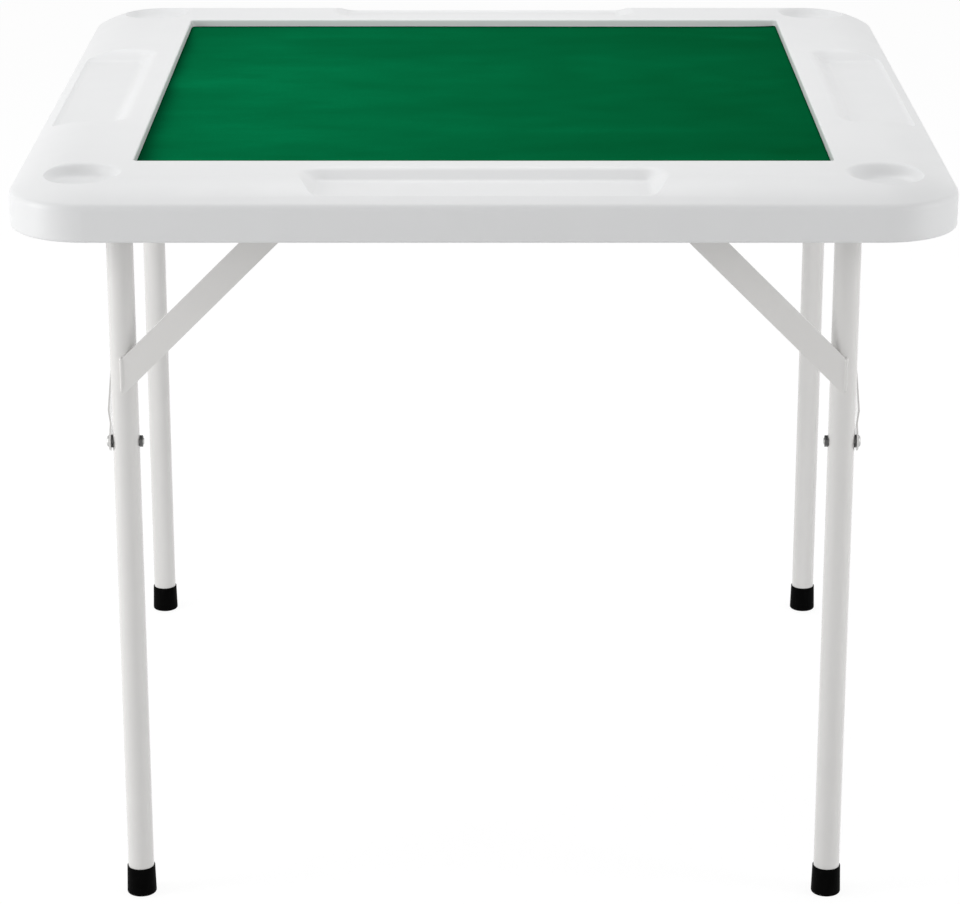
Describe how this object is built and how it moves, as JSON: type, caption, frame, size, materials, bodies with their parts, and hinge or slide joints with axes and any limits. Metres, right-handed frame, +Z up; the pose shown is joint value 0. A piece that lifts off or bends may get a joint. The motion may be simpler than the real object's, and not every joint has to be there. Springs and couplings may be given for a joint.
{
  "type": "folding mahjong table",
  "caption": "Square folding game table: felt playing field in a moulded rim with tile trays and cup wells, on two nested folding tube leg frames with struts and folding stays.",
  "frame": {"origin": "on the floor under the middle of the square top", "axes": "+X to the right, +Y to the rear, +Z up; the narrower leg frame is at -Y"},
  "size_m": [0.88, 0.88, 0.73],
  "materials": {
    "white_moulded_plastic": "smooth semi-matte moulded plastic, soft edges",
    "panel_plastic": "ribbed moulded plastic, fine spark texture",
    "green_felt": "short-pile green felt, faintly mottled",
    "board_core": "medium density fibreboard, sanded",
    "white_powder_coat": "white powder coat, semi-gloss",
    "white_plug_plastic": "smooth moulded plastic",
    "black_bush_plastic": "smooth nylon",
    "black_rubber": "moulded rubber, slight sheen",
    "zinc_steel": "bright zinc plate",
    "dark_washer": "black oxide steel"
  },
  "bodies": {
    "tabletop": {"tabletop_shell": "white_moulded_plastic", "playing_board": "board_core", "felt_mat": "green_felt", "underside_panel": "panel_plastic", "panel_screws": "zinc_steel", "clamp_screws": "zinc_steel", "stay_bracket_screws": "zinc_steel", "stay_bracket_rivets": "zinc_steel", "front_left_clamp": "white_powder_coat", "front_left_bush": "black_bush_plastic", "front_left_stay_bracket": "white_powder_coat", "front_right_clamp": "white_powder_coat", "front_right_bush": "black_bush_plastic", "front_right_stay_bracket": "white_powder_coat", "rear_left_clamp": "white_powder_coat", "rear_left_bush": "black_bush_plastic", "rear_left_stay_bracket": "white_powder_coat", "rear_right_clamp": "white_powder_coat", "rear_right_bush": "black_bush_plastic", "rear_right_stay_bracket": "white_powder_coat"},
    "front_leg_frame": {"front_crossbar": "white_powder_coat", "front_crossbar_plugs": "white_plug_plastic", "front_stay_bolts": "zinc_steel", "front_stay_washers": "dark_washer", "front_stay_nuts": "dark_washer", "front_left_leg": "white_powder_coat", "front_left_strut": "white_powder_coat", "front_left_foot": "black_rubber", "front_right_leg": "white_powder_coat", "front_right_strut": "white_powder_coat", "front_right_foot": "black_rubber"},
    "rear_leg_frame": {"rear_crossbar": "white_powder_coat", "rear_crossbar_plugs": "white_plug_plastic", "rear_stay_bolts": "zinc_steel", "rear_stay_washers": "dark_washer", "rear_stay_nuts": "dark_washer", "rear_left_leg": "white_powder_coat", "rear_left_strut": "white_powder_coat", "rear_left_foot": "black_rubber", "rear_right_leg": "white_powder_coat", "rear_right_strut": "white_powder_coat", "rear_right_foot": "black_rubber"},
    "front_left_lower_stay": {"front_left_stay_lower": "white_powder_coat"},
    "front_left_upper_stay": {"front_left_stay_upper": "white_powder_coat", "front_left_elbow_rivet": "zinc_steel"},
    "front_right_lower_stay": {"front_right_stay_lower": "white_powder_coat"},
    "front_right_upper_stay": {"front_right_stay_upper": "white_powder_coat", "front_right_elbow_rivet": "zinc_steel"},
    "rear_left_lower_stay": {"rear_left_stay_lower": "white_powder_coat"},
    "rear_left_upper_stay": {"rear_left_stay_upper": "white_powder_coat", "rear_left_elbow_rivet": "zinc_steel"},
    "rear_right_lower_stay": {"rear_right_stay_lower": "white_powder_coat"},
    "rear_right_upper_stay": {"rear_right_stay_upper": "white_powder_coat", "rear_right_elbow_rivet": "zinc_steel"}
  },
  "joints": [
    {"name": "front_leg_fold", "type": "hinge", "parent": "tabletop", "child": "front_leg_frame", "pos_m": [0, -0.38, 0.698], "axis": [1, 0, 0], "range_deg": [0, 90]},
    {"name": "front_left_lower_stay_turn", "type": "hinge", "parent": "front_leg_frame", "child": "front_left_lower_stay", "pos_m": [-0.3528, -0.38, 0.47], "axis": [1, 0, 0], "range_deg": [0, 47.65]},
    {"name": "front_left_upper_stay_turn", "type": "hinge", "parent": "tabletop", "child": "front_left_upper_stay", "pos_m": [-0.3575, -0.13, 0.698], "axis": [1, 0, 0], "range_deg": [-42.38, 0]},
    {"name": "front_right_lower_stay_turn", "type": "hinge", "parent": "front_leg_frame", "child": "front_right_lower_stay", "pos_m": [0.3528, -0.38, 0.47], "axis": [1, 0, 0], "range_deg": [0, 47.65]},
    {"name": "front_right_upper_stay_turn", "type": "hinge", "parent": "tabletop", "child": "front_right_upper_stay", "pos_m": [0.3575, -0.13, 0.698], "axis": [1, 0, 0], "range_deg": [-42.38, 0]},
    {"name": "rear_leg_fold", "type": "hinge", "parent": "tabletop", "child": "rear_leg_frame", "pos_m": [0, 0.38, 0.6948], "axis": [-1, 0, 0], "range_deg": [0, 90]},
    {"name": "rear_left_lower_stay_turn", "type": "hinge", "parent": "rear_leg_frame", "child": "rear_left_lower_stay", "pos_m": [-0.3988, 0.38, 0.4668], "axis": [-1, 0, 0], "range_deg": [0, 47.65]},
    {"name": "rear_left_upper_stay_turn", "type": "hinge", "parent": "tabletop", "child": "rear_left_upper_stay", "pos_m": [-0.4035, 0.13, 0.6948], "axis": [-1, 0, 0], "range_deg": [-42.38, 0]},
    {"name": "rear_right_lower_stay_turn", "type": "hinge", "parent": "rear_leg_frame", "child": "rear_right_lower_stay", "pos_m": [0.3988, 0.38, 0.4668], "axis": [-1, 0, 0], "range_deg": [0, 47.65]},
    {"name": "rear_right_upper_stay_turn", "type": "hinge", "parent": "tabletop", "child": "rear_right_upper_stay", "pos_m": [0.4035, 0.13, 0.6948], "axis": [-1, 0, 0], "range_deg": [-42.38, 0]}
  ],
  "couplings": [
    {"joint": "front_left_lower_stay_turn", "follows": "front_leg_fold", "ratio": 0.52928},
    {"joint": "front_left_upper_stay_turn", "follows": "front_leg_fold", "ratio": -0.47072},
    {"joint": "front_right_lower_stay_turn", "follows": "front_leg_fold", "ratio": 0.52928},
    {"joint": "front_right_upper_stay_turn", "follows": "front_leg_fold", "ratio": -0.47072},
    {"joint": "rear_left_lower_stay_turn", "follows": "rear_leg_fold", "ratio": 0.52928},
    {"joint": "rear_left_upper_stay_turn", "follows": "rear_leg_fold", "ratio": -0.47072},
    {"joint": "rear_right_lower_stay_turn", "follows": "rear_leg_fold", "ratio": 0.52928},
    {"joint": "rear_right_upper_stay_turn", "follows": "rear_leg_fold", "ratio": -0.47072}
  ]
}
